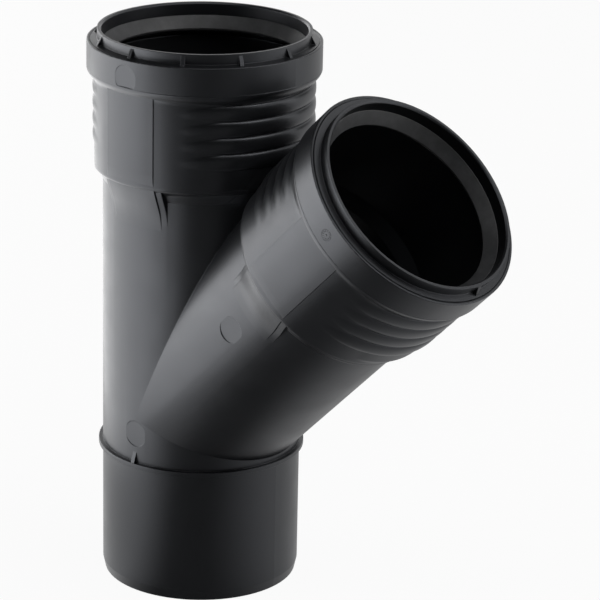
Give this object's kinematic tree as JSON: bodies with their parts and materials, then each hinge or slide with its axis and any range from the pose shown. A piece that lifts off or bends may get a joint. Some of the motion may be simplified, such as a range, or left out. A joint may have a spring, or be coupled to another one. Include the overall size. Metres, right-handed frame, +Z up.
{
  "type": "lateral wye pipe fitting",
  "caption": "Lateral wye drain fitting with a plain spigot below, a straight push-fit socket above and a push-fit socket on a 45 degree branch, each with a rubber lip seal.",
  "frame": {"origin": "centre of the spigot's open lower end, on the run's axis", "axes": "+Z up the run's axis from the spigot to the run socket; +X the side that the branch leans to; the raised pads face -Y"},
  "size_m": [0.207, 0.1042, 0.2555],
  "materials": {
    "body": "satin anthracite moulded plastic",
    "seal": "plain black rubber"
  },
  "bodies": {
    "root": {"fitting_body": "body", "run_socket_seal": "seal", "branch_socket_seal": "seal"}
  },
  "joints": []
}
